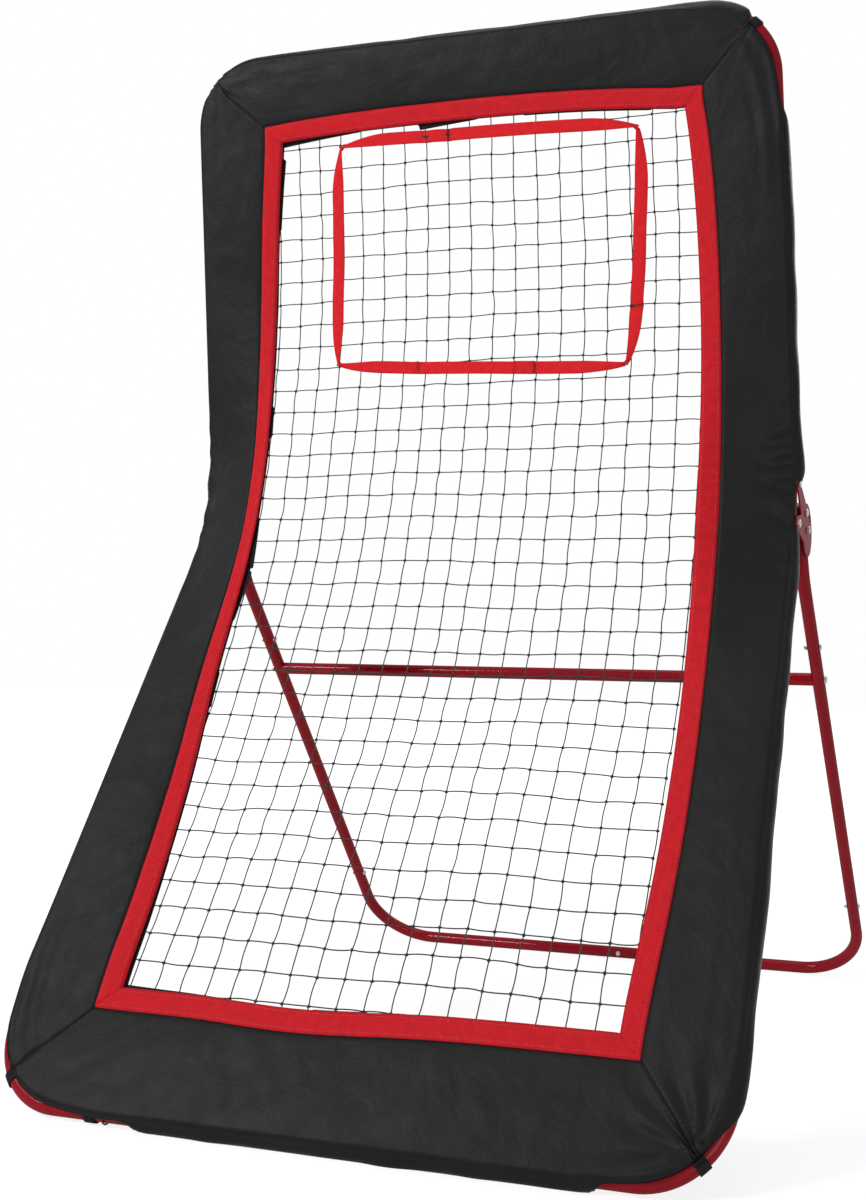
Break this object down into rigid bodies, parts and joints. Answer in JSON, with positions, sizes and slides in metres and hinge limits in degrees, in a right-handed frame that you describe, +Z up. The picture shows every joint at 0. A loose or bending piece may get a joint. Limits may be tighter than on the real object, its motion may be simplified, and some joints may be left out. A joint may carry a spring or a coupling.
{
  "type": "pitching target net",
  "caption": "Bent tube frame with a knotted net, padded black cover, red trim and strike zone strap, held up by a folding rear leg.",
  "frame": {"origin": "centre of the footprint on the floor, under the bounding box's middle", "axes": "+X to the right as seen by the pitcher, -Y towards the pitcher, +Z up; the left and right halves mirror across X = 0"},
  "size_m": [1.2416, 1.5504, 1.9456],
  "materials": {
    "frame_paint": "gloss powder coat",
    "zinc_plate": "bright zinc plate",
    "black_plastic": "moulded, fine grain",
    "net_cord": "knotted polyethylene twine",
    "border_webbing": "woven webbing",
    "elastic_cord": "braided elastic cord",
    "zone_webbing": "woven webbing",
    "cover_fabric": "coated oxford cloth over foam",
    "trim_fabric": "ribbed binding tape over foam",
    "hook_loop": "hook and loop tape"
  },
  "bodies": {
    "frame": {"lower_corner_left": "frame_paint", "lower_corner_right": "frame_paint", "lower_side_left": "frame_paint", "lower_side_right": "frame_paint", "knee_tube_left": "frame_paint", "knee_tube_right": "frame_paint", "upper_corner_left": "frame_paint", "upper_corner_right": "frame_paint", "frame_snap_buttons": "zinc_plate", "plate_outer_left": "frame_paint", "plate_inner_left": "frame_paint", "plate_outer_right": "frame_paint", "plate_inner_right": "frame_paint", "plate_bolts": "zinc_plate", "plate_nuts": "zinc_plate", "pivot_bolts": "zinc_plate", "pivot_nuts": "zinc_plate", "net": "net_cord", "net_border": "border_webbing", "elastic_loops": "elastic_cord", "strike_zone_strap": "zone_webbing", "cover_left": "cover_fabric", "cover_right": "cover_fabric", "cover_bottom": "cover_fabric", "cover_top": "cover_fabric", "trim_left": "trim_fabric", "trim_right": "trim_fabric", "trim_bottom": "trim_fabric", "trim_top": "trim_fabric", "cover_straps": "hook_loop"},
    "rear_leg": {"leg_upper_left": "frame_paint", "leg_upper_right": "frame_paint", "leg_side_left": "frame_paint", "leg_side_right": "frame_paint", "leg_corner_left": "frame_paint", "leg_corner_right": "frame_paint", "leg_crossbar": "frame_paint", "pivot_bushes": "zinc_plate", "leg_joint_bolts": "zinc_plate", "leg_joint_nuts": "zinc_plate", "crossbar_bolts": "zinc_plate", "leg_end_caps": "black_plastic", "clamp_bolts": "zinc_plate"},
    "knob_left": {"clamp_knob_left": "black_plastic"},
    "knob_right": {"clamp_knob_right": "black_plastic"}
  },
  "joints": [
    {"name": "leg_fold", "type": "hinge", "parent": "frame", "child": "rear_leg", "pos_m": [0, -0.0415, 0.96492], "axis": [1, 0, 0], "range_deg": [-74, 10]},
    {"name": "knob_turn_left", "type": "hinge", "parent": "rear_leg", "child": "knob_left", "pos_m": [-0.58, -0.05479, 0.99621], "axis": [1, 0, 0], "range_deg": [0, 720]},
    {"name": "knob_turn_right", "type": "hinge", "parent": "rear_leg", "child": "knob_right", "pos_m": [0.58, -0.05479, 0.99621], "axis": [1, 0, 0], "range_deg": [-720, 0]}
  ]
}
